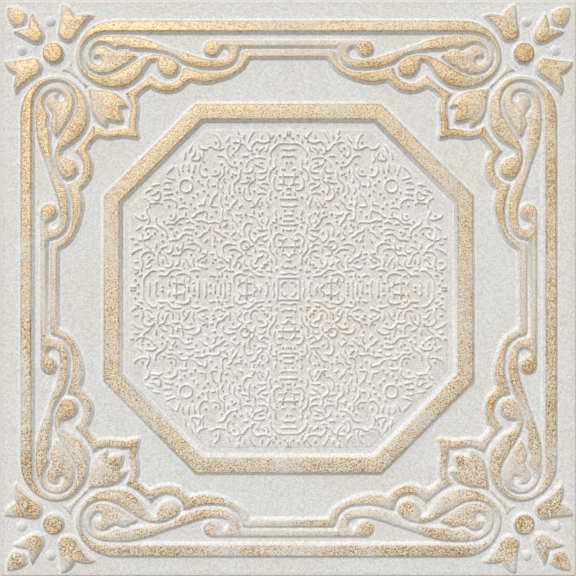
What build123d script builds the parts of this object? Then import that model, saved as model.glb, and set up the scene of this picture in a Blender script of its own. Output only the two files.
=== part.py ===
from build123d import *
import cmath
import math
import os

# Moulded foam ceiling tile, 50 cm module: one flat-backed slab whose face carries a
# scroll border, corner flowers, an eight-sided moulding and a slightly raised field.
# The origin is the centre of the flat back; the ornamented face looks up (+Z).

# Slab
TILE = 500.0            # side of the square
SHEET = 6.5             # thickness of the plain ground between the ornaments
EDGE_BEVEL = 1.5        # bevel round the face's outer edge
CORNER_R = 1.0          # radius of the face's corners, inside that bevel

# Heights above the ground
RAIL_RISE = 3.0         # outer rail with its scrolls
LEAF_RISE = 2.8         # long leaf and the thin rib it runs out of
STRAP_RISE = 2.6        # inner rib and the strap it turns into
FLOWER_RISE = 3.0       # tulips and palmettes
BUD_RISE = 2.4          # buds in the corners
STEM_RISE = 1.2         # stems between the centre domes and the palmettes
OCTAGON_RISE = 3.5      # eight-sided moulding, the highest of the relief
FIELD_RISE = 0.4        # field inside the moulding
DOME_RISE = 3.4         # large dome of each corner
BEAD_RISE = 2.0         # small domes beside the tulips

# Draft of the moulded walls, seen from above
WALL = 1.2              # width of the ornaments' sloping walls
OCTAGON_WALL = 2.2      # width of the eight-sided moulding's bevels
FIELD_WALL = 0.8        # width of the field's sloping step
CHORD = 0.12            # how far the chord of a stepped curve may leave its arc

# Distances from the tile's edge, and widths
RAIL_IN = 17.5          # outer rail
RAIL_WIDTH = 10.9
RIB_GAP = 6.4           # ground between the outer rail and the thin rib
RIB_WIDTH = 6.1
STRAP_GAP = 2.3         # groove between the thin rib and the inner rib
STRAP_WIDTH = 7.0
OCTAGON_IN = 89.4
OCTAGON_WIDTH = 15.6
OCTAGON_CUT = 80.6      # corner cut off the square the moulding is made from
FIELD_GAP = 7.7         # ground between the moulding and the field

# Domes: distance of their centres from the two edges of the corner, and radius
DOME_IN = 45.9
DOME_R = 9.6
BEAD_IN = 18.1
BEAD_ALONG = 43.3
BEAD_R = 4.8

HALF = TILE / 2
RAIL_FAR = RAIL_IN + RAIL_WIDTH
RIB_IN = RAIL_FAR + RIB_GAP
RIB_FAR = RIB_IN + RIB_WIDTH
STRAP_IN = RIB_FAR + STRAP_GAP
STRAP_FAR = STRAP_IN + STRAP_WIDTH
FIELD_IN = OCTAGON_IN + OCTAGON_WIDTH + FIELD_GAP

# Every outline is drawn once, in millimetres from a corner of the tile, as runs of
# points. A run of two is a straight line. A longer one is a chain of arcs, each given
# by its start, a point on the way and its end, which is the next one's start. Where
# runs meet there is a corner. The outline follows the middle of the sloping wall.
# An outline that crosses the diagonal is drawn to it and mirrored there; where its
# last run stops at a point on the way, the arc goes on over the diagonal.

BUD = [
    [(6.2, 6.2), (14.6, 6.7), (22.7, 11.8)],
    [(22.7, 11.8), (21.7, 15), (21.2, 18.2), (20.4, 20.4)],
]

CORNER_TULIP = [
    [(24.4, 24.4), (25, 18), (27.6, 11.6)],
    [(27.6, 11.6), (32, 18.8), (36.2, 26.2), (37.4, 29.6), (36.8, 33), (35.4, 35.4)],
]

SIDE_TULIP = [
    [(64.2, 14), (60.3, 7.2), (53.4, 3.9)],
    [(53.4, 3.9), (52.5, 13), (51, 23.5), (50.5, 29.8), (54.2, 34.7), (60.2, 35.6),
     (65, 32.3), (71.5, 22.8), (80.8, 13.5)],
    [(80.8, 13.5), (73, 11.9), (64.2, 14)],
]

STEM = [
    [(57.5, 57.5), (61.1, 53.9)],
    [(61.1, 53.9), (61.6, 58), (64, 62)],
    [(64, 62), (75.7, 74.3)],
    [(75.7, 74.3), (75, 75)],
]

PALMETTE = [
    [(76.4, 76.4), (84, 77.6), (91.5, 78.2), (102.5, 82.4), (110.2, 91.9)],
    [(110.2, 91.9), (107.3, 92.9), (104.2, 93.2)],
    [(104.2, 93.2), (105.5, 98.3), (106.3, 103.6), (105.5, 105.5)],
]

# Outer rail: the straight run, round the scroll, along the crescent leaf's lower
# edge, round the drop at its end and back over the crescent to the rail.
RAIL = [
    [(HALF, RAIL_IN), (103, RAIL_IN)],
    [(103, RAIL_IN), (91, 18.7), (80.5, 23), (70.5, 33), (65.9, 47.5), (67.7, 58.3),
     (75, 67.4), (87.5, 74.9), (102, 76.4), (114.8, 72), (124, 62.3), (128.7, 55.4),
     (135.6, 52.4)],
    [(135.6, 52.4), (137.3, 60.4), (142.5, 65.6), (148.5, 66.5), (153.6, 63.3),
     (155, 57.3), (151.5, 52.2), (144, 48.4), (135.5, 47.05), (127.4, 48.5),
     (119.5, 52.1), (111.6, 57), (103.5, 61.9), (92.5, 66.2), (81, 64.6),
     (73.4, 58), (70.8, 49), (72.7, 39.6), (79, 32.8), (89.5, 29), (103, RAIL_FAR)],
    [(103, RAIL_FAR), (HALF, RAIL_FAR)],
]

# Thin rib: along it to the ball, round the eye of the curl, back over the long leaf,
# round the scroll and under the heart, then along the curl's groove and home.
LEAF = [
    [(HALF, RIB_IN), (185, RIB_IN)],
    [(185, RIB_IN), (178.7, 37), (176.3, 42.5), (178.3, 47.3), (183.5, 49.2),
     (188, 47.5), (190.8, 43.5), (194, 40.5), (197.3, 43), (198.2, 47),
     (194.8, 50.4), (186, 51.5), (176.5, 50.5), (167, 47.8), (157, 44.4),
     (146, 40.8), (135, 37), (117.5, 31.9), (99, 30.7), (85.6, 32.5), (76, 38.9),
     (72.3, 49), (76, 58.6), (84, 64), (93.5, 64), (106.5, 58), (118.6, 49)],
    [(118.6, 49), (116, 46.7), (112.4, 45.5)],
    [(112.4, 45.5), (106.8, 43.3), (100.3, 45.3)],
    [(100.3, 45.3), (96.3, 44), (92, 41.2), (86.2, 40.6), (81.7, 44.2), (80.8, 47),
     (81.3, 49.9)],
    [(81.3, 49.9), (84.5, 49.3), (87.2, 50.5), (87.8, 54), (85.2, 56.2), (81, 54.1),
     (78.8, 48.7), (80.2, 42.2), (85, 38), (89.5, 37.6), (94, 39.1), (97.3, 41),
     (100.6, 42.3)],
    [(100.6, 42.3), (107.2, 40.9), (112.3, 43)],
    [(112.3, 43), (124, 43.2), (135, 44.9), (143.6, 46.2), (151.5, 49.8),
     (161.2, 55.6), (172, 58.8), (185, 59.8), (197, 58), (203.6, 53.4),
     (206.6, 46.6), (207, 43.7), (208.2, RIB_FAR)],
    [(208.2, RIB_FAR), (HALF, RIB_FAR)],
]

# Inner rib and strap, an eighth of the closed band: from the middle of a side to
# the diagonal, the edge that looks outward and the one that looks to the centre.
STRAP_OUTER = [
    [(HALF, STRAP_IN), (213, STRAP_IN)],
    [(213, STRAP_IN), (210.3, 44.4), (209.3, 47.2), (206, 54.2), (199.5, 59.8),
     (188, 62.6), (176, 62.1), (167.6, 60), (158.9, 58.4)],
    [(158.9, 58.4), (157, 64.7), (152, 69.9), (143.2, 72.1), (135, 68.8),
     (132.7, 66.9), (130.6, 64.7)],
    [(130.6, 64.7), (120, 73.8), (108.6, 80.7)],
    [(108.6, 80.7), (112.1, 87.5), (113, 94), (112.1, 101.3), (111.3, 107)],
    [(111.3, 107), (111.2, 111.2)],
]
STRAP_INNER = [
    [(HALF, STRAP_FAR), (218, STRAP_FAR)],
    [(218, STRAP_FAR), (215.9, 51), (214.3, 53.7), (206.5, 62.4), (195.5, 68),
     (185.5, 71), (176, 72), (170, 71.2), (164.6, 69.7)],
    [(164.6, 69.7), (158.3, 75.2), (150.8, 79.1), (143.5, 79.9), (136.5, 78.6),
     (133.2, 77), (130.2, 75.1)],
    [(130.2, 75.1), (123.4, 79.1), (118.3, 84.6)],
    [(118.3, 84.6), (119.9, 93.5), (119, 102.5), (118.7, 109.5), (120, 116.5),
     (119.6, 119.6)],
]


def over_diagonal(p):
    return (p[1], p[0])


def over_upright(p):
    return (TILE - p[0], p[1])


def over_level(p):
    return (p[0], TILE - p[1])


def doubled(runs, flip, closed=True):
    """The runs and their mirror image, joined where they touch the mirror line."""
    other = [[flip(p) for p in reversed(run)] for run in reversed(runs)]
    if len(runs[-1]) == 2 and on_one_line(*runs[-1], other[0][-1]):
        joined = runs[:-1] + [[runs[-1][0], other[0][-1]]] + other[1:]
    elif len(runs[-1]) > 2 and len(runs[-1]) % 2 == 0:
        joined = runs[:-1] + [runs[-1] + other[0][1:]] + other[1:]
    else:
        joined = runs + other
    if closed and len(runs[0]) == 2 and on_one_line(*runs[0], joined[-1][0]):
        joined = [[joined[-1][0], runs[0][1]]] + joined[1:-1]
    return joined


def bend(a, b, c):
    """Twice the area of the triangle a, b, c: positive where the way turns left."""
    return (b[0] - a[0]) * (c[1] - a[1]) - (b[1] - a[1]) * (c[0] - a[0])


def on_one_line(a, b, c):
    return abs(bend(a, b, c)) < 1e-6


def line_steps(a, b):
    """Both ends of a line, each with the line's heading."""
    way = (b - a) / abs(b - a)
    return [(a, way), (b, way)]


def arc_steps(a, b, c):
    """Points along the arc that starts in a, passes b and ends in c, with the headings."""
    w = (c - a) / (b - a)
    middle = a + (b - a) * complex(0.5, (abs(w) ** 2 - w.real) / (2 * w.imag))
    left = 1 if w.imag > 0 else -1
    turn = cmath.phase((c - middle) / (a - middle)) * left % (2 * math.pi)
    count = math.ceil(turn / (2 * math.acos(1 - CHORD / abs(a - middle))))
    spokes = [(a - middle) * cmath.rect(1, left * turn * k / count) for k in range(count + 1)]
    return [(middle + spoke, left * 1j * spoke / abs(spoke)) for spoke in spokes]


def drafted(runs, shift):
    """Closed wire of the runs, moved inward by shift (outward where negative)."""
    pieces = []
    for run in runs:
        run = [complex(u - HALF, HALF - v) for u, v in run]
        if len(run) == 2:
            pieces.append(line_steps(*run))
        pieces += [arc_steps(*run[k:k + 3]) for k in range(0, len(run) - 2, 2)]
    corners = [piece[0][0] for piece in pieces]
    area = sum((p.conjugate() * q).imag for p, q in zip(corners, corners[1:] + corners[:1]))
    side = shift if area > 0 else -shift
    ring = []
    for piece, before in zip(pieces, pieces[-1:] + pieces[:-1]):
        for k, (point, way) in enumerate(piece[:-1]):
            last = way if k else before[-1][1]
            across = 1j * (way + last)
            ring.append(point + side * across / (1 + (way * last.conjugate()).real))
    return Wire.make_polygon([(p.real, p.imag, 0) for p in ring], close=True)


def raised(runs, rise, wall):
    """Ornament on the ground with sloping walls and a flat top."""
    foot = drafted(runs, -wall / 2).moved(Pos(0, 0, SHEET))
    top = drafted(runs, wall / 2).moved(Pos(0, 0, SHEET + rise))
    return Solid.make_loft([foot, top], ruled=True)


def cap(u, v, radius, rise):
    """Shallow dome, part of a ball that stands out of the ground."""
    ball = (radius ** 2 + rise ** 2) / (2 * rise)
    dome = Sphere(ball, rotation=(90, 0, 0)).moved(Pos(u - HALF, HALF - v, SHEET + rise - ball))
    keep = Box(4 * ball, 4 * ball, 2 * rise, align=(Align.CENTER, Align.CENTER, Align.MIN))
    return dome & keep.moved(Pos(u - HALF, HALF - v, SHEET))


def octagon(inset, cut):
    """Square inset from the tile's edge, with its corners cut off."""
    a, b, far = inset, inset + cut, TILE - inset
    ring = [(b, a), (far - cut, a), (far, b), (far, far - cut),
            (far - cut, far), (b, far), (a, far - cut), (a, b)]
    return [[p, q] for p, q in zip(ring, ring[1:] + ring[:1])]


def narrowed(cut, inset):
    """Corner cut that keeps an octagon's sides parallel when it is moved inward."""
    return cut - inset * (2 - math.sqrt(2))


quarter = [
    raised(doubled(BUD, over_diagonal), BUD_RISE, WALL),
    raised(doubled(CORNER_TULIP, over_diagonal), FLOWER_RISE, WALL),
    raised(doubled(PALMETTE, over_diagonal), FLOWER_RISE, WALL),
    raised(doubled(STEM, over_diagonal), STEM_RISE, WALL / 2),
    raised(SIDE_TULIP, FLOWER_RISE, WALL),
    raised([[over_diagonal(p) for p in run] for run in SIDE_TULIP], FLOWER_RISE, WALL),
    cap(DOME_IN, DOME_IN, DOME_R, DOME_RISE),
    cap(BEAD_ALONG, BEAD_IN, BEAD_R, BEAD_RISE),
    cap(BEAD_IN, BEAD_ALONG, BEAD_R, BEAD_RISE),
    raised(doubled(RAIL, over_upright), RAIL_RISE, WALL),
    raised(doubled(LEAF, over_upright), LEAF_RISE, WALL),
]


def band(eighth):
    """A closed outline from its eighth, mirrored over the diagonal and both axes."""
    fourth = doubled(eighth, over_diagonal, closed=False)
    half = doubled(fourth, over_level, closed=False)
    return doubled(half, over_upright)


strap = (raised(band(STRAP_OUTER), STRAP_RISE, WALL)
         - raised(band(STRAP_INNER), STRAP_RISE, -WALL))
inner_cut = narrowed(OCTAGON_CUT, OCTAGON_WIDTH)
moulding = (raised(octagon(OCTAGON_IN, OCTAGON_CUT), OCTAGON_RISE, OCTAGON_WALL)
            - raised(octagon(OCTAGON_IN + OCTAGON_WIDTH, inner_cut), OCTAGON_RISE, -OCTAGON_WALL))
field_cut = narrowed(OCTAGON_CUT, OCTAGON_WIDTH + FIELD_GAP)
field = raised(octagon(FIELD_IN, field_cut), FIELD_RISE, FIELD_WALL)

slab = Box(TILE, TILE, SHEET, align=(Align.CENTER, Align.CENTER, Align.MIN))
slab = fillet(slab.edges().filter_by(Axis.Z), CORNER_R + EDGE_BEVEL)
slab = chamfer(slab.faces().sort_by(Axis.Z)[-1].edges(), EDGE_BEVEL)

quarters = [shape.rotate(Axis.Z, 90 * turn) for turn in range(4) for shape in quarter]
tile = slab.fuse(*quarters, strap, moulding, field)
tile = tile.solid() if len(tile.solids()) == 1 else tile

os.makedirs("parts", exist_ok=True)
export_step(tile, "parts/ceiling_tile.step")
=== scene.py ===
import math

import bmesh
import bpy
from mathutils import Matrix, Vector
from mathutils.kdtree import KDTree


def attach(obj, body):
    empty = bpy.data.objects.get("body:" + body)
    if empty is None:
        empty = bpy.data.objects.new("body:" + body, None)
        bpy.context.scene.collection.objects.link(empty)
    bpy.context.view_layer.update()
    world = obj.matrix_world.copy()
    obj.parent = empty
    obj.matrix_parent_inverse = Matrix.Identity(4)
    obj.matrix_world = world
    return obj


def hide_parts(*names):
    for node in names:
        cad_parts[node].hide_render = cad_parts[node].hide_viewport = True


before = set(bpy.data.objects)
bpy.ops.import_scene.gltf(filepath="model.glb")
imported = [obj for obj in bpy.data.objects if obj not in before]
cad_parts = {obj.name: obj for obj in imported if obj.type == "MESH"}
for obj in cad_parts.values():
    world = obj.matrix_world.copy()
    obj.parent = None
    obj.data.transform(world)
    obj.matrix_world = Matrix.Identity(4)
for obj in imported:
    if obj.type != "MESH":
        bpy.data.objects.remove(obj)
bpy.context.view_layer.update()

# Sizes in millimetres, the same as the solid's
HALF = 250.0            # half of the tile's side
SHEET = 6.5             # from the back to the plain ground
EDGE_BEVEL = 1.5
CORNER_R = 1.0
OCTAGON_CUT = 80.6      # what each corner of the frame's square loses along a side
OCTAGON_RISE = 3.5
FIELD_IN = 112.7        # from the tile's edge to the raised field
FIELD_RISE = 0.4

# Sizes in millimetres of the soft walls, which are wider than the solid's straight ones
OCTAGON_FOOT = 88.6     # from the tile's edge to the eight-sided frame
OCTAGON_SPAN = 18.4     # across the frame, from foot to foot
OCTAGON_WALL = 4.0
FIELD_FOOT = 0.5        # how far outside its line the field's wall starts
FIELD_WALL = 1.2
BUTTON_FOOT = 0.6       # how far outside its outline a button's wall starts
WALL_STEPS = (0, 0.12, 0.25, 0.4, 0.55, 0.7, 0.82, 0.92, 1)  # shares of a wall's width

# Sizes in millimetres of the fine lines
LINE_R = 0.95           # half of a line's width
LINE_RISE = 1.7         # how far a line stands out of the field
LINE_END = 0.7          # the share of its thickness that a line has at its ends
DOT_R = 1.3

# Sizes in millimetres of what isn't seen
SUNK = 0.4              # how far a foot goes down into what it stands on
OVERLAP = 0.15          # where walls overlap by more, the hidden one goes down by this
TOUCHING = 0.002        # points nearer than this become one
CROWN = 0.15            # and at a button's crown, nearer than this

FRAME_GILT, LINE_GILT = 0.75, 0.7  # the share of their paint's gold that they hold
LEAN = 0.9990           # draws in outlines read on the tops, which stand nearer the eye

# Each ornament's outline in one eighth of the tile, between a side's middle (u = 250)
# and the diagonal, in millimetres from the tile's corner. Runs meet in a corner. An
# outline that crosses a mirror line is drawn on past it, and cut there afterwards.

BUD = [
    [(6.2, 6.2), (8.5, 5.9), (12, 6.1), (16, 7.3), (20, 9.6), (22.7, 11.8)],
    [(22.7, 11.8), (22.4, 14.6), (21.8, 17.6), (20.4, 20.4), (17.6, 21.8), (14.6, 22.4),
     (11.8, 22.7)],
    [(11.8, 22.7), (7.3, 16), (6.2, 6.2)],
]
CORNER_TULIP = [
    [(24.4, 24.4), (24.7, 20.5), (25.4, 17), (26.3, 14), (27.6, 11.6)],
    [(27.6, 11.6), (31, 17.2), (33.5, 21.5), (35.8, 25.5), (37.3, 29.8), (37.2, 32.3),
     (35.6, 35.6), (32.3, 37.2), (29.8, 37.3), (25.5, 35.8)],
    [(25.5, 35.8), (11.6, 27.6)],
    [(11.6, 27.6), (14, 26.3), (17, 25.4), (20.5, 24.7), (24.4, 24.4)],
]
SIDE_TULIP = [
    [(64.2, 14), (63.2, 11.2), (61.3, 8.3), (58.5, 5.7), (55.5, 4.1), (53.4, 3.9)],
    [(53.4, 3.9), (52.7, 8), (52.3, 14), (51.6, 20.5), (50.4, 26.5), (50.4, 30.2),
     (52.5, 33.3), (57, 35.6), (61, 35.3), (64.5, 33), (67, 29.3), (71, 23.5),
     (76, 17.8), (80.8, 13.5)],
    [(80.8, 13.5), (77.5, 12.1), (73, 11.9), (68, 12.8), (64.2, 14)],
]
STEM = [
    [(57.5, 57.5), (61.1, 53.9)],
    [(61.1, 53.9), (61.2, 56.5), (62.2, 59.3), (64, 62), (66.4, 65), (75.7, 74.3)],
    [(75.7, 74.3), (75, 75), (65, 66.4), (58, 60), (53.9, 61.1)],
    [(53.9, 61.1), (57.5, 57.5)],
]
PALMETTE = [
    [(76.4, 76.4), (81, 77.2), (86, 77.9), (91, 78.1), (96, 79.2), (101, 81.3),
     (105.5, 84.9), (108.5, 88.6), (110.2, 91.9)],
    [(110.2, 91.9), (107, 92.9), (104.2, 93.2)],
    [(104.2, 93.2), (105, 96.5), (105.9, 100.5), (106.3, 103.6), (105.6, 105.6),
     (103.6, 106.3), (100.5, 105.9), (96.5, 105), (93.2, 104.2)],
    [(93.2, 104.2), (85, 105), (77.2, 81)],
    [(77.2, 81), (76.4, 76.4)],
]
RAIL = [
    [(262, 17.5), (110, 17.5), (103, 17.5), (96, 17.9), (89, 19.2), (82, 22.2),
     (76, 26.4), (71.5, 31.5), (68.3, 37.5), (66.3, 43.5), (65.9, 49.5), (66.7, 55),
     (69.3, 61), (73.5, 66), (79, 70.4), (85, 74), (91.5, 76), (98, 76.6), (105, 76),
     (111.5, 74.1), (117, 70.4), (121.5, 66), (124.8, 61), (127.5, 56.6), (131, 53.3),
     (135.6, 52.4)],
    [(135.6, 52.4), (136.2, 57), (138.2, 61.8), (141.7, 65.2), (146, 66.7),
     (150.5, 65.8), (154, 62.7), (155.2, 58.5), (154.4, 55.2), (151.5, 52.2),
     (147.5, 49.9), (143, 48.1), (138, 47.2), (133, 47.1), (128, 48.3), (122, 50.7),
     (116, 54.1), (110, 58), (104, 61.6), (98, 64.6), (92, 66.2), (86, 66.1),
     (80.5, 64.4), (75.5, 60.9), (72.2, 56), (70.8, 50), (71.1, 44), (73, 39),
     (76.5, 34.8), (81.5, 31.2), (88, 29.1), (95, 28.6), (103, 28.4), (110, 28.4),
     (262, 28.4)],
    [(262, 28.4), (262, 17.5)],
]
LEAF = [
    [(262, 34.8), (192, 34.8), (185, 34.8), (181, 35.4), (177.8, 37.9), (176.2, 41.6),
     (176.9, 45.4), (179.8, 48.2), (183.7, 49.2), (187.3, 47.9), (189.9, 45.2),
     (191.4, 42.1), (193.8, 40.5), (196.4, 41.7), (198.2, 44.6), (198, 47.6),
     (195.3, 50.2), (190, 51.4), (183, 51.4), (176, 50.4), (168, 48.1), (158, 44.7),
     (148, 41.6), (139, 38.4), (131, 35.5), (124, 33.3), (116, 31.5), (108, 30.8),
     (100, 30.7), (92.5, 31.1), (85, 32.7), (79, 35.9), (74.9, 40.5), (72.6, 46),
     (72.5, 51.5), (74.2, 56.2), (78, 61), (83.5, 64), (90, 64.5), (96.5, 63.1),
     (103, 59.9), (109, 56.4), (114, 52.9), (118.6, 49)],
    [(118.6, 49), (116, 46.6), (112.4, 45.5)],
    [(112.4, 45.5), (110.2, 44.2), (107.3, 43.3), (104, 43.8), (100.3, 45.3)],
    [(100.3, 45.3), (97.5, 44.6), (94, 42.5), (90.5, 40.6), (87.2, 40.4),
     (83.8, 41.7), (81.4, 44.6), (80.8, 47.8), (81.3, 49.9)],
    [(81.3, 49.9), (83.5, 49.4), (86, 49.6), (87.8, 51.3), (87.9, 53.8),
     (86.3, 55.9), (84.2, 56.1), (81.6, 54.7), (79.5, 52), (78.8, 48.7),
     (79.1, 45.2), (80.6, 41.6), (83.3, 38.9), (87, 37.6), (91, 37.9),
     (95, 39.5), (98.6, 41.6), (100.6, 42.3)],
    [(100.6, 42.3), (103.8, 41.4), (107, 40.9), (110, 41.3), (112.3, 43)],
    [(112.3, 43), (120, 43.2), (126, 43.3), (132, 44.2), (137.5, 45.3), (143, 46),
     (148, 47.8), (153, 50.7), (158, 53.9), (164, 56.7), (171, 58.6), (178, 59.5),
     (185, 59.7), (192, 59.2), (198, 57.6), (202.6, 54.4), (205.5, 50.2),
     (206.8, 45.6), (208.2, 40.9)],
    [(208.2, 40.9), (262, 40.9)],
    [(262, 40.9), (262, 34.8)],
]
STRAP = [
    [(262, 43.2), (213, 43.2)],
    [(213, 43.2), (210.2, 44.5), (209.3, 47.2), (207.8, 51.4), (205, 55.4),
     (200.8, 59), (195.5, 61.4), (189, 62.3), (181, 62.6), (174, 61.8), (167, 60.2),
     (162, 58.6), (158.9, 58.4)],
    [(158.9, 58.4), (157.9, 62.3), (156, 66.3), (152.7, 69.5), (148.3, 71.5),
     (143, 72.1), (138.5, 70.7), (134.5, 68.3), (130.6, 64.7)],
    [(130.6, 64.7), (126, 68.9), (120, 73.8), (114, 77.8), (108.6, 80.7)],
    [(108.6, 80.7), (110.6, 84.5), (112.2, 88.8), (113, 93.5), (112.6, 98.5),
     (111.6, 103.5), (111.2, 108), (111.2, 111.2)],
    [(111.2, 111.2), (108, 111.2), (103.5, 111.6), (98.5, 112.6)],
    [(98.5, 112.6), (99, 119.6)],
    [(99, 119.6), (104.5, 118.6), (110, 118.7), (114.5, 119.7), (117.8, 120.2),
     (119.6, 119.6), (120.2, 117.8), (119.7, 114.5), (118.7, 110), (118.6, 104.5),
     (119.6, 99), (119.9, 94), (119.3, 89), (118.3, 84.6)],
    [(118.3, 84.6), (121.5, 81), (125.5, 77.6), (130.2, 75.1)],
    [(130.2, 75.1), (133, 76.9), (137.5, 78.9), (143.5, 79.9), (149.5, 79.5),
     (154.8, 77.6), (159, 74.6), (161.9, 71.7), (164.6, 69.7)],
    [(164.6, 69.7), (169, 70.9), (175, 72), (182, 71.6), (189, 70), (196, 67.8),
     (202.5, 64.8), (207.6, 61.6), (211.5, 58), (214.3, 53.7), (216, 51.1),
     (218, 50.2)],
    [(218, 50.2), (262, 50.2)],
    [(262, 50.2), (262, 43.2)],
]

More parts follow.
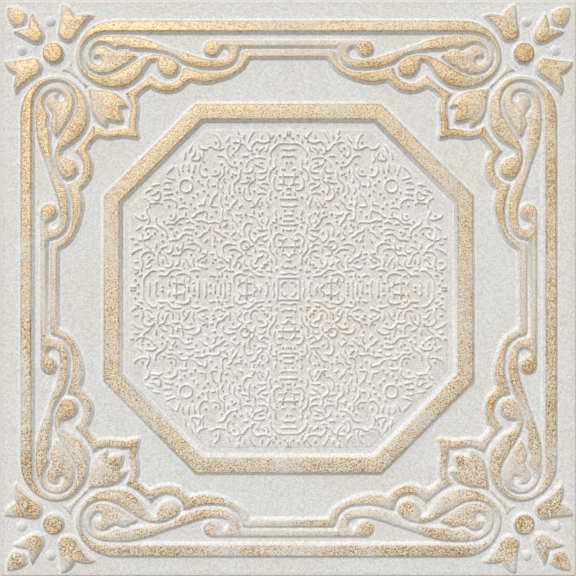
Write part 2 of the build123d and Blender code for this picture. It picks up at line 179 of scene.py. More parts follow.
# The field's fine raised lines, read off one eighth: each stroke's points in
# millimetres from the corner, between the diagonal and the middle of the left side.
STROKES = [
    [(127.9, 180), (126.8, 182.7), (127.9, 184.9), (129.3, 188.5), (129.1, 191.7), (127.9, 194.4)],
    [(115.8, 185.2), (117.6, 187.6), (120.8, 189.4), (124.8, 190.3), (127.9, 189.4)],
    [(134.9, 187.9), (134.7, 190.3), (135.6, 193.5), (138.7, 195.7), (141.4, 197.5),
     (143.7, 200.2), (144.3, 202.9)],
    [(151.7, 182.7), (152, 186.3), (151.1, 189), (148.1, 190.5), (145.4, 189.2)],
    [(160.7, 183.1), (160.7, 186.7)],
    [(143.4, 194.6), (145.9, 193.7), (150.4, 193.7), (152.6, 192.1), (154.9, 189.9),
     (157.6, 188.5), (163.4, 189)],
    [(153.8, 194.8), (155.8, 193.5), (158, 194.8)],
    [(160.5, 193.5), (163.8, 191.9), (167.4, 193.5)],
    [(165.6, 188.3), (168.3, 187.6), (170.1, 185.4), (172.4, 184), (175.1, 183.4),
     (177.3, 182.2), (178.7, 184), (178.7, 188.5)],
    [(168.8, 190.3), (171, 191.2), (175.1, 190.8), (177.3, 192.1), (180, 192.6)],
    [(168.8, 196.2), (170.6, 195.3), (172.6, 195.7)],
    [(176, 194.8), (176.9, 197.5)],
    [(158.9, 199.3), (161.6, 198.2), (165.2, 198.2), (167.9, 198.8)],
    [(166.5, 203.6), (163.4, 202.7), (160.3, 202.4), (158.5, 203.1), (156.2, 205.6),
     (154.4, 207.4), (150.4, 207.8), (145.9, 208.7)],
    [(171.7, 205.6), (174.2, 204.5), (176.4, 202), (180, 200.6)],
    [(149.5, 200.9), (151.7, 204.7)],
    [(180, 206.5), (177.3, 209.8)],
    [(125.3, 199.7), (126.6, 197.5), (129.7, 196.8), (134.2, 197.5), (136.5, 200.2)],
    [(123.5, 201.5), (122.8, 204.2), (123.9, 207.8), (124.8, 211), (127.1, 212.8),
     (129.3, 214.6), (130.6, 216.8)],
    [(117.6, 205.1), (120.3, 207.8), (123.9, 207.8), (127.9, 206.9), (131.8, 203.3)],
    [(117.4, 199.3), (120.3, 197.9), (123, 195.3)],
    [(130.4, 217.7), (127.1, 217.9), (123.9, 219.9), (122.3, 222.6), (123.5, 226.7),
     (123.5, 229.4), (122.6, 232.1)],
    [(132, 217.7), (133.3, 220.8)],
    [(127.9, 223.1), (129.7, 221.7)],
    [(127.1, 229.1), (128.8, 226.7), (130.6, 224.4), (133.3, 224.9)],
    [(125.3, 232.3), (129.7, 231.2), (131.1, 229.4)],
    [(135.1, 210), (135.1, 215)],
    [(138.7, 215.9), (141.4, 214.1), (144.6, 213.2)],
    [(149, 211), (149.5, 215), (147.7, 218.6), (145.4, 219), (143, 217.9)],
    [(136.5, 219.9), (136.5, 226.7), (137.6, 229.6)],
    [(139.6, 219.5), (141.9, 220.4), (143.4, 223.5), (144.6, 226.7), (145.9, 228.7)],
    [(140.7, 224), (140.7, 227.8)],
    [(149.3, 224), (149.5, 227.6), (148.1, 230.7), (145.9, 231.4), (142.8, 230.5)],
    [(154.9, 223.1), (155.1, 226.7), (154, 228.9), (151.5, 230.5)],
    [(148.1, 221.3), (150.4, 220.6), (153.5, 220.4), (155.3, 220.8), (158, 217.2),
     (160.3, 215.4), (163.8, 215.2), (168.3, 216.8)],
    [(154, 216.8), (153.3, 214.1)],
    [(158.5, 222.6), (161.2, 224.9), (162.9, 228.5), (164.5, 230.7)],
    [(158.5, 208.3), (158.2, 212.3), (157.1, 215.4), (155.3, 215.9)],
    [(161.6, 211.9), (168.3, 210.5), (171.5, 212.1), (173.5, 214.6), (173, 218.1)],
    [(159.4, 226.2), (158.5, 228), (158.5, 230.3), (159.6, 232.5)],
    [(167.9, 222.6), (167, 225.3), (167.9, 230.7)],
    [(170.6, 226.2), (172.8, 224), (176.4, 222.2), (178.7, 220.4), (179.3, 216.8)],
    [(174.8, 219), (178.7, 219.9)],
    [(174.2, 227.6), (175.1, 226.4), (177.8, 227.1)],
    [(170.6, 229.6), (174.6, 231.2), (178.7, 232.3), (180, 231.2)],
    [(164.5, 235), (167.9, 233.8), (171.5, 233.8), (172.8, 234.7)],
    [(152.4, 238.3), (155.3, 237.2), (158.5, 236.8), (161.6, 237.4), (164.5, 240.1),
     (163.8, 244.4)],
    [(136.9, 239.2), (138.7, 238.3), (144.6, 238.3), (145.9, 236.5), (149, 233.8),
     (152.2, 233.2), (157.1, 233.8)],
    [(124.4, 252), (124.4, 242.6), (125.7, 239.7), (127.9, 237.4), (130.6, 235),
     (133.3, 234.1), (135.6, 234.7)],
    [(137.8, 234.5), (139.2, 233.8), (141.9, 234.5)],
    [(129.1, 243.3), (129.3, 247.3), (130, 252)],
    [(136.9, 243.7), (134.9, 245.5), (135.1, 248.7), (135.8, 252)],
    [(146.1, 243.7), (146.8, 247.3)],
    [(147.2, 240.6), (148.6, 238.6), (150.6, 239.7)],
    [(152.6, 241.5), (152.6, 252)],
    [(149.5, 244.6), (159.4, 246)],
    [(159.1, 240.6), (159.1, 245.1), (160.3, 249.1)],
    [(172.2, 242.4), (172.2, 252)],
    [(177.3, 242.4), (178.4, 245.1), (178.2, 252)],
    [(166.1, 245.1), (168.8, 244.4)],
    [(167.9, 247.8), (167.9, 252)],
    [(149.5, 167.4), (142.3, 168.8)],
    [(124.4, 171.3), (127.5, 172.8), (129.1, 176), (129.3, 180)],
    [(129.3, 168.8), (133.8, 168.3), (137.8, 165.6), (138.7, 169.7), (137.4, 172.8),
     (133.8, 172.8), (131.5, 171.5)],
    [(130.2, 176), (135.1, 175.7), (137.8, 175.1), (140.5, 177.3)],
    [(141.4, 163.4), (148.1, 163.4)],
    [(141.9, 158.9), (145, 157.6), (148.6, 158.5)],
    [(143.2, 152.6), (146.8, 154.4), (151.7, 155.5)],
    [(141.4, 173.3), (147.2, 172.4), (151.3, 174.2), (153.1, 176.9), (152.2, 180)],
    [(150.5, 144), (147.8, 146.6), (145.9, 149), (144, 151)],
    [(180, 193), (189.5, 193), (190.4, 194.5), (190.3, 196.5), (189.5, 197.2)],
    [(182, 195.9), (180.9, 199.7)],
    [(184.3, 196.2), (184.5, 198), (185.6, 199.7), (187.4, 200.9), (189.6, 201.5),
     (191.7, 203.3), (193.5, 204.7), (195.7, 205.6)],
    [(183.8, 202.7), (185.8, 204.2), (186, 206.9), (185.2, 209.6)],
    [(186.3, 206.9), (187.9, 208.7), (188.5, 209.8)],
    [(182, 219.5), (185, 219.9)],
    [(183.6, 223.5), (187.2, 224.9)],
    [(187.2, 216.1), (187.2, 218.1), (188.1, 220.4), (189.6, 222), (192.1, 222.9),
     (194.1, 224.4), (195.5, 226.2), (197.3, 226.9), (198.4, 226.7)],
    [(197.7, 222.6), (199.1, 224.2), (199.1, 227.6), (198.8, 231.4)],
    [(189.2, 226.7), (190.8, 226.2), (192.1, 226.7), (192.8, 228.2)],
    [(185.8, 230.7), (187.9, 232.3), (189.6, 232.7), (192.1, 231.6), (195, 230.3)],
    [(180.9, 239.2), (182.9, 238.3), (184.9, 239), (186.5, 239.5)],
    [(186.1, 246.2), (186.1, 252)],
    [(190.8, 245), (190.8, 252)],
    [(192.1, 235.6), (192.3, 239.5)],
    [(193.5, 241.7), (194.4, 243.3), (194.3, 252)],
    [(193.5, 234.7), (196.2, 233.6), (198, 234.5), (200.2, 234.5), (202.4, 235)],
    [(198, 244.6), (199.7, 245.5)],
    [(198.2, 247.3), (199.1, 248.4), (199.1, 252)],
    [(193.7, 218.6), (193, 216.3), (192.8, 214.1), (194.4, 212.3), (196.6, 211.2),
     (199.3, 211), (201.5, 211.6), (204.2, 212.1)],
    [(197.9, 216.6), (199.7, 215.9), (202.9, 215.4), (205.6, 216.3), (207.8, 218.1),
     (209.8, 219.9)],
    [(212.3, 215.9), (213, 217.7), (212.1, 220.2)],
    [(210.5, 220.2), (209.2, 221.3), (206.9, 222.6), (205.1, 224.9), (204.5, 227.6),
     (203.3, 229.8), (202, 231.2)],
    [(213.5, 220.4), (215, 220.6), (218.1, 221.3)],
    [(205.4, 225.3), (207.1, 226.7), (208.7, 228.7), (207.8, 230.7), (206.7, 232.7)],
    [(211.9, 223.5), (211.4, 227.6), (212.8, 229.1), (214.6, 230.3)],
    [(217.2, 224), (216.8, 227.1), (217.7, 229.8), (219.5, 231.6), (221.3, 231.8),
     (223.3, 230.7)],
    [(209.4, 233.8), (212.3, 233.6), (215, 233.2), (217.2, 234.5), (219.5, 236.5),
     (221.7, 238.1), (224.9, 238.8), (228.9, 239.2)],
    [(202.9, 244.6), (202, 241), (203.3, 238.8), (205.6, 237.4), (207.8, 236.8),
     (210.5, 237.4), (213.7, 238.3)],
    [(205.8, 248.7), (207.4, 246), (209.6, 244.6), (212.3, 244.2)],
    [(207.1, 240.6), (208, 244.6)],
    [(213.4, 240.6), (213.4, 252)],
    [(213.7, 244.8), (217.7, 245.1)],
    [(215.9, 239.5), (217.7, 238.8), (219.3, 240.6)],
    [(219.9, 243.3), (219.7, 246), (220.4, 247.8), (222.2, 249.1), (222.6, 252)],
    [(225.3, 247.3), (226.7, 252)],
    [(222.9, 234.1), (227.1, 235.4)],
    [(220.2, 228.2), (222, 226.7), (222.9, 223.5), (224.9, 222.6), (228.2, 220.4)],
    [(225.8, 231.6), (229.4, 231.2)],
    [(230.7, 234.5), (233.8, 234.5), (235.2, 235.6)],
    [(231.2, 245.5), (231.8, 247.3), (230.7, 252)],
    [(236.8, 242.8), (237.2, 244.6), (235.6, 252)],
    [(240.6, 238.5), (240.6, 252)],
    [(131, 161.2), (134, 160.4), (138, 159.6)],
    [(125.5, 166.6), (129, 165), (132, 163.5)],
    [(154.6, 181), (157, 179.8), (160, 179.6), (162, 180.6)],
    [(171.5, 177.9), (174.5, 177.2), (179, 177.2)],
    [(191.2, 192.2), (192.2, 190), (192.2, 188.4)],
    [(192, 185.8), (194.4, 184.4), (197, 184), (199.6, 186)],
    [(192.8, 196.6), (195.6, 195.4)],
    [(194, 200.6), (196, 201.2), (198, 201.9)],
    [(199.6, 204.2), (201.6, 203), (203, 201)],
    [(200.8, 205.6), (202.6, 206.8), (204.4, 208)],
    [(112.6, 206.2), (116, 206.6)],
    [(115.8, 211.5), (119.5, 211)],
    [(113.3, 220.4), (116.4, 218), (119.5, 216.3), (123.2, 215)],
    [(116.4, 227), (119.4, 226.8)],
    [(113.9, 230.4), (117, 233.2), (120, 233.6)],
    [(116.6, 237), (120, 234.6)],
    [(119.8, 239), (123.4, 237.8)],
    [(112.8, 248.8), (117.6, 248.8)],
    [(146, 197.6), (149.6, 197.4)],
    [(244.1, 248.2), (243.9, 246.2), (245, 244.9), (246.2, 243.9)],
    [(238.9, 238.2), (240.6, 239.6), (242, 240.9)],
]

# The small dots between the lines, and the rings with their radius
DOTS = [
    (185.4, 212.8), (191.4, 208.2), (184.3, 227.1), (182, 246.6), (188.3, 243),
    (189.3, 239.1), (196.2, 238.9), (201.3, 220.4), (213.4, 213.4), (228.9, 228.9),
    (230.7, 244.6), (233.2, 239.7), (147.7, 186.5), (169.5, 201.3), (162.7, 207.1),
    (166.1, 207.6), (140.5, 208.5), (165.2, 220.2), (170.4, 238.8), (140.5, 248.2),
    (127.9, 202), (133.8, 201.8), (140.1, 202.9), (146.1, 178), (156.4, 171.7),
    (159.6, 175.1), (165, 176.4), (167.4, 170.8), (153.1, 166.1), (153.3, 214.1),
    (138, 218.4), (130.4, 217.9), (122.1, 233.4),
    (168.5, 180), (182.8, 187.2), (194.3, 196), (123, 186.6), (152.6, 200.6),
    (144.6, 204.6), (141.7, 191.6), (119.3, 246.4), (116.8, 242.2), (178.6, 224.6),
    (163, 248.8),
]
RINGS = [(161, 161, 5.6), (212.2, 212.2, 4)]

# Where the sponge left more or less gold than on the rest: place in millimetres from the
# corner, reach, amount
DABS = [
    (14, 14, 8, 1.3), (32, 32, 9, 0.6), (59, 28, 12, 0.6), (53, 5, 14, -0.7),
    (80, 13, 12, -0.7), (46, 46, 12, 0.3), (101, 101, 12, 1.2), (78, 78, 9, 0.3),
    (92, 22, 22, 0.3), (112, 35, 22, 0.2), (125, 37, 14, 0.2), (180, 54, 26, 0.5),
    (183, 41, 9, 0.7), (148, 58, 12, 0.4), (112, 66, 22, 0.2), (148, 76, 20, 0.6),
    (115, 112, 17, 0.8), (113, 78, 12, 0.4), (190, 68, 24, 0.2), (68, 50, 18, -0.6),
    (76, 44, 12, -0.4), (144, 42, 12, -0.4), (192, 38, 9, -0.4), (240, 38, 40, -0.4),
]
WELL_GILDED = 0.3       # what is meant to hold more gold than this is dabbed too
WORN_FROM, WORN_TO = 4.5, 1.5  # millimetres in from the edge, where the rim's wear grows
FADE_END = 0.2          # metres from the middle, where what changes up the tile ends

# Colours
PAINT = (0.702, 0.692, 0.666, 1)
PAINT_WARM = (0.702, 0.668, 0.612, 1)
RIM_WEAR = (0.700, 0.600, 0.500, 1)
# the paint lightened as a painted highlight where walls close round it
PAINT_GROOVE_HIGHLIGHT = (0.900, 0.895, 0.890, 1)
GOLD = (0.800, 0.648, 0.385, 1)
DEEP_GOLD = (0.450, 0.240, 0.100, 1)
EDGE_GOLD = (0.330, 0.225, 0.130, 1)
FLOOR_GREY = (0.62, 0.62, 0.61, 1)
DAYLIGHT = (0.98, 0.99, 1.0, 1)


def place(u, v, z=0.0):
    """A spot in metres from its distances to the left and upper edge."""
    return Vector(((u - HALF) / 1000, (HALF - v) / 1000, z / 1000))


# Shapes


def as_bmesh(curve):
    """The mesh of a curve that is needed for nothing else."""
    holder = bpy.data.objects.new("holder", curve)
    mesh = bpy.data.meshes.new_from_object(holder)
    bm = bmesh.new()
    bm.from_mesh(mesh)
    bpy.data.objects.remove(holder)
    bpy.data.curves.remove(curve)
    bpy.data.meshes.remove(mesh)
    merge(bm)
    return bm


def merge(bm, near=TOUCHING):
    """Points that lie nearer to each other than near become one."""
    bmesh.ops.remove_doubles(bm, verts=bm.verts, dist=near / 1000)


def add(bm, part):
    """A shape put into bm and then freed."""
    mesh = bpy.data.meshes.new("part")
    part.to_mesh(mesh)
    part.free()
    bm.from_mesh(mesh)
    bpy.data.meshes.remove(mesh)


def paint_layers(bm):
    """The two values that the paint reads at each point: how high on its wall it is,
    and how much gold it may hold."""
    layers = bm.verts.layers.float
    level = layers.get("level") or layers.new("level")
    gilt = layers.get("gilt") or layers.new("gilt")
    return level, gilt


def height(x, bulge=1.6):
    """How high a moulded wall stands, from 0 at its foot to 1 where it meets the top."""
    return 1 - (1 - min(1.0, max(0.0, x))) ** bulge


def spots_along(curve):
    """Close spots on a curve, to measure from."""
    curve.resolution_u = 16
    curve.fill_mode = "NONE"
    line = as_bmesh(curve.copy())
    near = KDTree(len(line.verts))
    for k, v in enumerate(line.verts):
        near.insert(v.co, k)
    near.balance()
    line.free()
    return near


def relief(runs, rise, wall=3.6, out=1.5, steps=4, gilt=1.0, bulge=1.6):
    """One ornament, its outline filled: the walls climb from out beyond the outline and
    round over to a flat top, or to a ridge where the ornament is too narrow for one."""
    curve = bpy.data.curves.new("outline", "CURVE")
    curve.dimensions = "2D"
    spline = curve.splines.new("BEZIER")
    points = [(p, k == 0 and len(runs) > 1) for run in runs for k, p in enumerate(run[:-1])]
    spline.bezier_points.add(len(points) - 1)
    for knot, (p, corner) in zip(spline.bezier_points, points):
        knot.co = place(*p)
        knot.handle_left_type = knot.handle_right_type = "VECTOR" if corner else "AUTO"
    spline.use_cyclic_u = True
    near = spots_along(curve)
    curve.resolution_u = steps
    curve.fill_mode = "BOTH"
    curve.bevel_depth = wall / 1000
    curve.bevel_resolution = 5
    curve.offset = (out - wall) / 1000
    bm = as_bmesh(curve)
    cut(bm, (0, 0, -1))
    close_up(bm)
    level, gold = paint_layers(bm)
    for v in bm.verts:
        climbed = min(1.0, v.co.z * 1000 / wall)
        meant = wall * (1 - math.sqrt(1 - climbed * climbed)) - out
        v.co.z = 0
        far = near.find(v.co)[2] * 1000
        v[level] = height((math.copysign(far, meant) + out) / wall, bulge)
        v[gold] = gilt
        v.co.z = (SHEET + rise * v[level]) / 1000
        if far < abs(meant) - OVERLAP:
            v.co.z -= OVERLAP / 1000
        if climbed == 0:
            v.co.z -= SUNK / 1000
    return bm


def looseness(face):
    """Lowest for the face that hangs on by the fewest edges, then for the smallest."""
    return -sum(edge.is_boundary for edge in face.edges), face.calc_area()


def close_up(bm):
    """Stray flaps taken off, and every hole filled with triangles."""
    crowded = [e for e in bm.edges if len(e.link_faces) > 2]
    flaps = {min(e.link_faces, key=looseness) for e in crowded}
    bmesh.ops.delete(bm, geom=list(flaps), context="FACES_ONLY")
    bmesh.ops.delete(bm, geom=[e for e in bm.edges if not e.link_faces], context="EDGES")
    made = bmesh.ops.holes_fill(bm, edges=[e for e in bm.edges if e.is_boundary])["faces"]
    bmesh.ops.triangulate(bm, faces=made)


def cut(bm, off):
    """Everything on the side of the origin that off points to is cut away."""
    bmesh.ops.bisect_plane(bm, geom=bm.verts[:] + bm.edges[:] + bm.faces[:],
                           plane_co=(0, 0, 0), plane_no=off, clear_outer=True)


def fold_out(bm):
    """An eighth cut at its two mirror lines and mirrored all round the tile."""
    bmesh.ops.scale(bm, verts=bm.verts, vec=(LEAN, LEAN, 1))
    cut(bm, (1, 0, 0))
    cut(bm, (-1, -1, 0))
    all_round(bm)
    return bm


def all_round(bm):
    """Mirrored over the diagonal, then over both middle lines, and joined there."""
    for turn in (45, 0, 90):
        bmesh.ops.mirror(bm, geom=bm.verts[:] + bm.edges[:] + bm.faces[:],
                         matrix=Matrix.Rotation(math.radians(turn), 4, "Z"),
                         merge_dist=-1, axis="X")
        merge(bm)
    bmesh.ops.recalc_face_normals(bm, faces=bm.faces)


def finished(name, parts, material):
    """One object from the shapes in parts, with its place in its mesh."""
    whole = bmesh.new()
    for part in parts:
        add(whole, part)
    for face in whole.faces:
        face.smooth = len(face.verts) < 5
    mesh = bpy.data.meshes.new(name)
    whole.to_mesh(mesh)
    whole.free()
    piece = bpy.data.objects.new(name, mesh)
    bpy.context.scene.collection.objects.link(piece)
    mesh.materials.append(material)
    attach(piece, "root")
    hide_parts("ceiling_tile")
    return piece


def slab():
    """The foam sheet, with upright edges and a bevel round its face."""
    middle = SHEET / 2000
    bm = bmesh.new()
    bmesh.ops.create_cube(bm, size=1, matrix=Matrix.Translation((0, 0, middle))
                          @ Matrix.Diagonal((HALF / 500, HALF / 500, SHEET / 1000, 1)))
    upright = [e for e in bm.edges if abs(e.verts[0].co.z - e.verts[1].co.z) > middle]
    bmesh.ops.bevel(bm, geom=upright, offset=(CORNER_R + EDGE_BEVEL) / 1000, segments=5,
                    affect="EDGES", profile=0.5, material=-1)
    rim = [e for e in bm.edges if all(v.co.z > middle for v in e.verts)]
    bmesh.ops.bevel(bm, geom=rim, offset=EDGE_BEVEL / 1000, segments=3,
                    affect="EDGES", profile=0.5, material=-1)
    return bm


def octagon(from_edge, cut_off):
    """An eight-sided face on the sheet: a square some way from the tile's edge, without
    its corners."""
    near, near_cut = from_edge, from_edge + cut_off
    far = 2 * HALF - from_edge
    far_cut = far - cut_off
    ring = [(near_cut, near), (far_cut, near), (far, near_cut), (far, far_cut),
            (far_cut, far), (near_cut, far), (near, far_cut), (near, near_cut)]
    bm = bmesh.new()
    bm.faces.new([bm.verts.new(place(u, v, SHEET)) for u, v in reversed(ring)])
    return bm


def inset(bm, face, width):
    """The face drawn in by width on all sides."""
    bmesh.ops.inset_region(bm, faces=[face], thickness=width / 1000,
                           use_even_offset=True, use_boundary=True)


def stepped(bm, wall, rise, down=False):
    """A mesh's first face is inset again and again, up a soft wall or down one."""
    level, gilt = paint_layers(bm)
    bm.faces.ensure_lookup_table()
    face = bm.faces[0]
    steps = WALL_STEPS[::-1] if down else WALL_STEPS
    for x, before in zip(steps[1:], steps):
        inset(bm, face, abs(x - before) * wall)
        for v in face.verts:
            v[level] = height(x)
            v[gilt] = FRAME_GILT
            v.co.z = (SHEET + rise * height(x)) / 1000
    return face


def sunk_foot(bm):
    """A shape's open edges, once they are let down into what it stands on."""
    foot = [e for e in bm.edges if e.is_boundary]
    for v in {v for e in foot for v in e.verts}:
        v.co.z -= SUNK / 1000
    return foot


def moulding():
    """The eight-sided frame: soft outer wall, flat top, soft inner wall."""
    bm = octagon(OCTAGON_FOOT, OCTAGON_CUT)
    face = stepped(bm, OCTAGON_WALL, OCTAGON_RISE)
    inset(bm, face, OCTAGON_SPAN - 2 * OCTAGON_WALL)
    stepped(bm, OCTAGON_WALL, OCTAGON_RISE, down=True)
    bmesh.ops.delete(bm, geom=[face], context="FACES_ONLY")
    bmesh.ops.bridge_loops(bm, edges=sunk_foot(bm))
    bmesh.ops.recalc_face_normals(bm, faces=bm.faces)
    return bm


def plateau():
    """The slightly raised field inside the frame."""
    cut_off = OCTAGON_CUT - (FIELD_IN - OCTAGON_FOOT) * (2 - math.sqrt(2))
    bm = octagon(FIELD_IN - FIELD_FOOT, cut_off)
    stepped(bm, FIELD_WALL, FIELD_RISE)
    bmesh.ops.holes_fill(bm, edges=sunk_foot(bm))
    bmesh.ops.recalc_face_normals(bm, faces=bm.faces)
    return bm


def button(u, v, radius, rise, wall, gilt, bulge):
    """A round button that stands out of the sheet."""
    turns = [math.radians(45 * k) for k in range(9)]
    ring = [(u + radius * math.cos(turn), v - radius * math.sin(turn)) for turn in turns]
    bm = relief([ring], rise, wall, BUTTON_FOOT, steps=6, gilt=gilt, bulge=bulge)
    merge(bm, CROWN)
    return bm


def round_bar(name, steps):
    """A curve with a round section, still without its line."""
    curve = bpy.data.curves.new(name, "CURVE")
    curve.dimensions = "3D"
    curve.resolution_u = steps
    curve.bevel_depth = LINE_R / 1000
    curve.bevel_resolution = 2
    return curve


def strokes():
    """The fine lines of one eighth, a little thinner at their ends."""
    curve = round_bar("filigree", steps=3)
    curve.use_fill_caps = True
    for stroke in STROKES:
        spline = curve.splines.new("BEZIER")
        spline.bezier_points.add(len(stroke) - 1)
        for k, (knot, p) in enumerate(zip(spline.bezier_points, stroke)):
            knot.co = place(*p)
            knot.handle_left_type = knot.handle_right_type = "AUTO"
            at_end = k in (0, len(stroke) - 1) and len(stroke) > 2
            knot.radius = LINE_END if at_end else 1.0
    return as_bmesh(curve)


def small_ring(u, v, radius):
    """A fine line that runs round a spot."""
    curve = round_bar("ring", steps=5)
    spline = curve.splines.new("BEZIER")
    spline.bezier_points.add(3)
    for k, knot in enumerate(spline.bezier_points):
        way = math.radians(90 * k + 45)
        knot.co = place(u + radius * math.cos(way), v + radius * math.sin(way))
        knot.handle_left_type = knot.handle_right_type = "AUTO"
    spline.use_cyclic_u = True
    return as_bmesh(curve)


def filigree():
    """The field's fine lines, dots and rings, half sunk in it and drawn up."""
    bm = strokes()
    for u, v in DOTS:
        bmesh.ops.create_uvsphere(bm, u_segments=10, v_segments=6, radius=DOT_R / 1000,
                                  matrix=Matrix.Translation(place(u, v)))
    for u, v, radius in RINGS:
        add(bm, small_ring(u, v, radius))
    cut(bm, (0, -1, 0))
    cut(bm, (1, 1, 0))
    all_round(bm)
    level, gilt = paint_layers(bm)
    for v in bm.verts:
        v[level] = max(0.0, v.co.z * 1000 / LINE_R)
        v[gilt] = LINE_GILT
    bmesh.ops.scale(bm, verts=bm.verts, vec=(1, 1, LINE_RISE / LINE_R))
    bmesh.ops.translate(bm, verts=bm.verts, vec=(0, 0, (SHEET + FIELD_RISE) / 1000))
    return bm


# Materials


def node(tree, kind, links=(), **values):
    """A shader node with its inputs set or linked, each by name or number."""
    made = tree.nodes.new("ShaderNode" + kind)
    for key, value in values.items():
        setattr(made, key, value)
    for key, value in dict(links).items():
        if isinstance(value, bpy.types.NodeSocket):
            tree.links.new(value, made.inputs[key])
        else:
            made.inputs[key].default_value = value
    return made


def maths(tree, operation, *values, **options):
    """What numbers and sockets come to, added, multiplied or compared."""
    return node(tree, "Math", dict(enumerate(values)), operation=operation,
                **options).outputs[0]


def spread(tree, value, lowest, highest, low, high, **options):
    """A value between lowest and highest, drawn out to between low and high."""
    return node(tree, "MapRange", {"Value": value, "From Min": lowest, "From Max": highest,
                                   "To Min": low, "To Max": high}, **options).outputs[0]


def cloudy(tree, where, scale, detail, roughness=0.5):
    """A value that wanders over the surface in patches of about 1 / scale metres."""
    return node(tree, "TexNoise", {"Vector": where, "Scale": scale, "Detail": detail,
                                   "Roughness": roughness}).outputs["Fac"]


def between(tree, share, first, second):
    """The first number where share is 0, the second where it is 1."""
    return node(tree, "Mix", {"Factor": share, 2: first, 3: second}).outputs[0]


def mixed(tree, share, first, second, **options):
    """The first colour where share is 0, the second where it is 1."""
    return node(tree, "Mix", {"Factor": share, 6: first, 7: second}, data_type="RGBA",
                **options).outputs[2]


def sides_of(tree, where):
    """How far a spot is from the two middle lines, as two sockets."""
    folded = node(tree, "VectorMath", {0: where}, operation="ABSOLUTE").outputs[0]
    apart = node(tree, "SeparateXYZ", {0: folded}).outputs
    return apart["X"], apart["Y"]


def group(name, inputs, outputs):
    """An empty node group with named inputs and outputs."""
    tree = bpy.data.node_groups.new(name, "ShaderNodeTree")
    for label, kind, value in inputs:
        socket = tree.interface.new_socket(label, in_out="INPUT",
                                           socket_type="NodeSocket" + kind)
        if value is not None:
            socket.default_value = value
    for label, kind in outputs:
        tree.interface.new_socket(label, in_out="OUTPUT", socket_type="NodeSocket" + kind)
    given = tree.nodes.new("NodeGroupInput").outputs
    return tree, given, tree.nodes.new("NodeGroupOutput").inputs


def foam_grain():
    """Fused foam beads under the paint, and the pebbly paint itself, as a height."""
    tree, given, out = group("foam_grain", [("Vector", "Vector", None)],
                             [("Height", "Float")])
    where = given["Vector"]
    beads = node(tree, "TexVoronoi", {"Vector": where, "Scale": 420.0}, feature="SMOOTH_F1")
    low = maths(tree, "MULTIPLY", beads.outputs["Distance"], -0.35)
    pebbles = cloudy(tree, where, 900.0, detail=2.0, roughness=0.6)
    tree.links.new(maths(tree, "ADD", pebbles, low), out["Height"])
    return tree


def dabbed(tree, where, amount):
    """The amount of gold, with more or less of it at each dab in all eighths alike."""
    sides = sides_of(tree, where)
    far = maths(tree, "MAXIMUM", *sides)
    close = maths(tree, "MINIMUM", *sides)
    spot = node(tree, "CombineXYZ", {0: close, 1: far}).outputs[0]
    share = amount
    for u, v, reach, more in DABS:
        middle = ((HALF - u) / 1000, (HALF - v) / 1000, 0)
        away = node(tree, "VectorMath", {0: spot, 1: middle}, operation="DISTANCE")
        dab = spread(tree, away.outputs["Value"], 0.0, reach / 1000, more, 0.0)
        share = maths(tree, "ADD", share, dab)
    share = maths(tree, "MAXIMUM", share, 0.0)
    held = maths(tree, "GREATER_THAN", amount, WELL_GILDED)
    return between(tree, held, amount, share)


def gold_wash():
    """Where the sponge left gold: a mask for the tops, in speckles and clouds, kept off the walls
    towards the lower side as a painted highlight, one for its darker flecks, one for the line
    along the shoulders, and painted glints and shade in the gold's grain."""
    tree, given, out = group(
        "gold_wash",
        [("Vector", "Vector", None), ("Level", "Float", 0.0), ("Amount", "Float", 1.0)],
        [("Gold", "Float"), ("Deep", "Float"), ("Edge", "Float"), ("Glint", "Float")])
    where, level, amount = given["Vector"], given["Level"], given["Amount"]
    across = node(tree, "SeparateXYZ", {0: where}).outputs["Y"]

    def up_the_tile(lower, upper):
        """A value that changes from the tile's lower side to its upper side."""
        return spread(tree, across, -FADE_END, FADE_END, lower, upper)

    # Gold on the tops, in clouds and speckles, torn along their edges
    clouds = cloudy(tree, where, 38.0, detail=3.0)
    cloud = spread(tree, clouds, 0.34, 0.66, up_the_tile(0.2, 0.6), 1.15)
    speckles = cloudy(tree, where, 620.0, detail=2.0, roughness=0.7)
    speckle = spread(tree, speckles, 0.38, 0.60, up_the_tile(0.0, 0.4), 1.6)
    torn = maths(tree, "MULTIPLY_ADD", speckles, 0.8, level)
    # Painted highlight: towards the lower side the gold starts higher up the walls and leaves them
    # white, as glare does
    high = spread(tree, torn, up_the_tile(1.04, 0.86), up_the_tile(1.46, 1.36), 0.0, 1.0,
                  interpolation_type="SMOOTHSTEP")
    clouded = maths(tree, "MULTIPLY", high, cloud)
    speckled = maths(tree, "MULTIPLY", clouded, speckle)
    full = maths(tree, "MULTIPLY", speckled, dabbed(tree, where, amount))
    gold = maths(tree, "MINIMUM", full, 1.0)
    tree.links.new(gold, out["Gold"])

    # Darker flecks in it, and a deeper tone where it lies thick
    flecks = cloudy(tree, where, 780.0, detail=2.0, roughness=0.8)
    fleck = spread(tree, flecks, 0.49, 0.60, 0.0, up_the_tile(2.4, 1.2))
    thick = spread(tree, full, 0.9, 2.0, 0.0, 0.5)
    deep = maths(tree, "MULTIPLY_ADD", fleck, gold, thick, use_clamp=True)
    tree.links.new(deep, out["Deep"])

    # The line that the sponge leaves along the shoulders
    up = spread(tree, level, 0.66, 0.9, 0.0, 1.0, interpolation_type="SMOOTHSTEP")
    over = spread(tree, level, 0.95, 1.0, 1.0, 0.0, interpolation_type="SMOOTHSTEP")
    shoulder = maths(tree, "MULTIPLY", maths(tree, "MULTIPLY", up, over), cloud)
    thin = maths(tree, "MULTIPLY", amount, 0.55)
    edge = maths(tree, "MULTIPLY", shoulder, thin, use_clamp=True)
    tree.links.new(edge, out["Edge"])

    # Painted glints and painted shade in the gold's grain, multiplied into its colour,
    # stronger towards the lower side
    glints = cloudy(tree, where, 980.0, detail=1.0)
    glint = spread(tree, glints, 0.30, 0.70, up_the_tile(0.30, 0.88),
                   up_the_tile(1.74, 1.08))
    tree.links.new(glint, out["Glint"])
    return tree


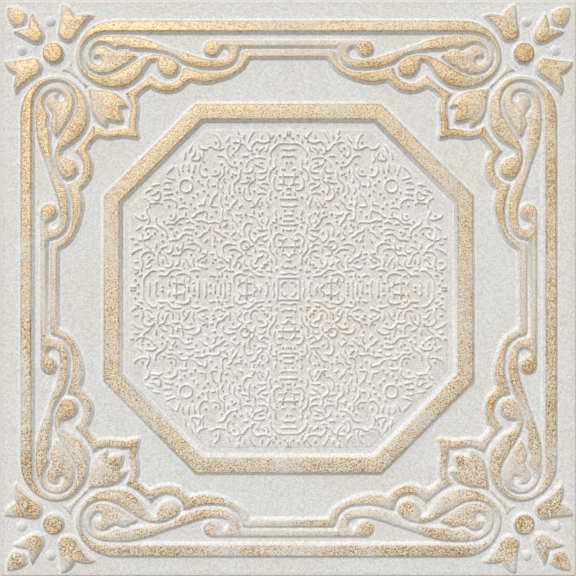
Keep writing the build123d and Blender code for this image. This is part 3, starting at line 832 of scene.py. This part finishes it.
def painted(name, grain, wash, amount, bump):
    """Matt white paint on foam with a gold wash on what is raised."""
    material = bpy.data.materials.new(name)
    material.use_nodes = True
    tree = material.node_tree
    tree.nodes.clear()
    where = node(tree, "TexCoord").outputs["Object"]
    level = node(tree, "Attribute", attribute_name="level").outputs["Fac"]
    share = node(tree, "Attribute", attribute_name="gilt").outputs["Fac"]

    # White paint, warmer in places, worn at the tile's rim, and a painted highlight in the grooves
    tint = cloudy(tree, where, 14.0, detail=4.0)
    warm = spread(tree, tint, 0.45, 0.75, 0.0, 1.0)
    paint = mixed(tree, warm, PAINT, PAINT_WARM)
    outward = maths(tree, "MAXIMUM", *sides_of(tree, where))
    rim = spread(tree, outward, (HALF - WORN_FROM) / 1000, (HALF - WORN_TO) / 1000, 0.0, 0.55)
    worn = mixed(tree, rim, paint, RIM_WEAR)
    # Painted highlight: the paint is made lighter where walls close round it, against their shade
    shut = node(tree, "AmbientOcclusion", {"Distance": 0.0028}, samples=4)
    low = spread(tree, shut.outputs["AO"], 0.97, 0.65, 0.0, 1.0)
    # On the ornaments this painted highlight stays at their feet, off their walls
    if amount > WELL_GILDED:
        low = maths(tree, "MULTIPLY", low, spread(tree, level, 0.0, 0.35, 1.0, 0.0))
    groove_lit = mixed(tree, low, worn, PAINT_GROOVE_HIGHLIGHT)
    rise = node(tree, "Group", {"Vector": where}, node_tree=grain).outputs["Height"]
    # Painted shade and highlight of the grain: the paint darker in its hollows, lighter on its
    # crests
    grain_shading = spread(tree, rise, 0.15, 0.55, 0.79, 1.12)
    base = mixed(tree, 1.0, groove_lit, grain_shading, blend_type="MULTIPLY")

    # Gold on it, with darker flecks, a darker line along the shoulders, and painted glints and
    # shade
    meant = maths(tree, "MULTIPLY", share, amount)
    gilt = node(tree, "Group", {"Vector": where, "Level": level, "Amount": meant},
                node_tree=wash).outputs
    top = mixed(tree, gilt["Gold"], base, GOLD)
    heavy = mixed(tree, gilt["Deep"], top, DEEP_GOLD)
    lined = mixed(tree, gilt["Edge"], heavy, EDGE_GOLD)
    colour = mixed(tree, gilt["Gold"], lined, gilt["Glint"], blend_type="MULTIPLY")

    bumped = node(tree, "Bump", {"Height": rise, "Strength": bump, "Distance": 0.0006})
    shader = node(tree, "BsdfPrincipled", {
        "Base Color": colour,
        "Roughness": spread(tree, gilt["Gold"], 0.0, 1.0, 0.75, 0.46),
        "Metallic": maths(tree, "MULTIPLY", gilt["Gold"], 0.6),
        "Normal": bumped.outputs[0],
        "Specular IOR Level": 0.35})
    node(tree, "OutputMaterial", {"Surface": shader.outputs[0]})
    return material


grain, wash = foam_grain(), gold_wash()
sheet_paint = painted("painted_sheet", grain, wash, amount=0.08, bump=0.7)
relief_paint = painted("gilded_relief", grain, wash, amount=0.95, bump=0.9)
line_paint = painted("gilded_lines", grain, wash, amount=0.4, bump=0.4)

# The tile

finished("foam_sheet", [slab(), plateau()], sheet_paint)
finished("octagon_moulding", [moulding()], relief_paint)
finished("corner_flowers", [
    fold_out(relief(BUD, rise=2.4, wall=3.2, out=1.4, gilt=0.5)),
    fold_out(relief(CORNER_TULIP, rise=3.0, gilt=0.75)),
    fold_out(relief(SIDE_TULIP, rise=3.0, gilt=0.85)),
    fold_out(relief(STEM, rise=1.3, wall=1.6, out=0.7, gilt=0.3)),
    fold_out(relief(PALMETTE, rise=3.0, gilt=0.7))], relief_paint)
finished("scroll_rail", [fold_out(relief(RAIL, rise=3.0, gilt=0.9))], relief_paint)
leaf = relief(LEAF, rise=2.8, wall=3.4, out=1.4, gilt=0.65)
finished("long_leaf", [fold_out(leaf)], relief_paint)
finished("inner_strap", [fold_out(relief(STRAP, rise=2.6, gilt=0.8))], relief_paint)
dome = button(45.9, 45.9, radius=9.2, rise=3.4, wall=3.0, gilt=1.3, bulge=2.4)
bead = button(43.3, 18.1, radius=4.1, rise=1.9, wall=4.6, gilt=0.1, bulge=2.2)
finished("domes", [fold_out(dome), fold_out(bead)], relief_paint)
finished("filigree", [filigree()], line_paint)

# Floor, light and camera

FLOOR_DROP = 0.0002     # keeps the floor and the tile's back out of one plane
floor_mesh = bpy.data.meshes.new("floor")
bm = bmesh.new()
bmesh.ops.create_grid(bm, x_segments=1, y_segments=1, size=6)
bm.to_mesh(floor_mesh)
bm.free()
floor = bpy.data.objects.new("floor", floor_mesh)
floor.location.z = -FLOOR_DROP
bpy.context.scene.collection.objects.link(floor)
floor_paint = bpy.data.materials.new("floor_paint")
floor_paint.use_nodes = True
floor_shader = floor_paint.node_tree.nodes["Principled BSDF"].inputs
floor_shader["Base Color"].default_value = FLOOR_GREY
floor_shader["Roughness"].default_value = 0.9
floor_mesh.materials.append(floor_paint)

# Soft light from all round, brighter from the upper left
world = bpy.data.worlds.new("studio")
bpy.context.scene.world = world
world.use_nodes = True
sky = world.node_tree
BRIGHT_SIDE = Vector((-0.34, 0.84, 0.42))
around = node(sky, "TexCoord").outputs["Generated"]
toward = node(sky, "VectorMath", {0: around, 1: BRIGHT_SIDE}, operation="DOT_PRODUCT")
glow = spread(sky, toward.outputs["Value"], -0.6, 1.0, 0.24, 0.92)

# To the eye and in the gold's sheen the room is the same pale grey on every side
ROOM_GREY = 0.68
ray = node(sky, "LightPath").outputs
plain = maths(sky, "MAXIMUM", ray["Is Camera Ray"], ray["Is Glossy Ray"])
plain = maths(sky, "MAXIMUM", plain, ray["Is Transmission Ray"])
room = between(sky, plain, glow, ROOM_GREY)
sky.links.new(room, sky.nodes["Background"].inputs["Strength"])
sky.nodes["Background"].inputs["Color"].default_value = DAYLIGHT

KEY_AIM = Vector((0.28, -0.62, -0.66))
key = bpy.data.lights.new("key", "SUN")
key.energy = 2.05
key.angle = math.radians(40)
key_lamp = bpy.data.objects.new("key", key)
key_lamp.rotation_euler = KEY_AIM.to_track_quat("-Z", "Y").to_euler()
bpy.context.scene.collection.objects.link(key_lamp)

# The camera looks straight down, from just up and left of the middle, and the tile
# fills its view
VIEW = 0.56             # from the camera to the sheet's face
ASIDE = 0.0005
SENSOR = 36
camera = bpy.data.cameras.new("camera")
camera.sensor_width = SENSOR
camera.lens = SENSOR * VIEW / (2 * HALF / 1000)
seen = bpy.data.objects.new("camera", camera)
seen.location = (-ASIDE, ASIDE, VIEW + SHEET / 1000)
bpy.context.scene.collection.objects.link(seen)
bpy.context.scene.camera = seen
bpy.context.scene.view_settings.view_transform = "Standard"
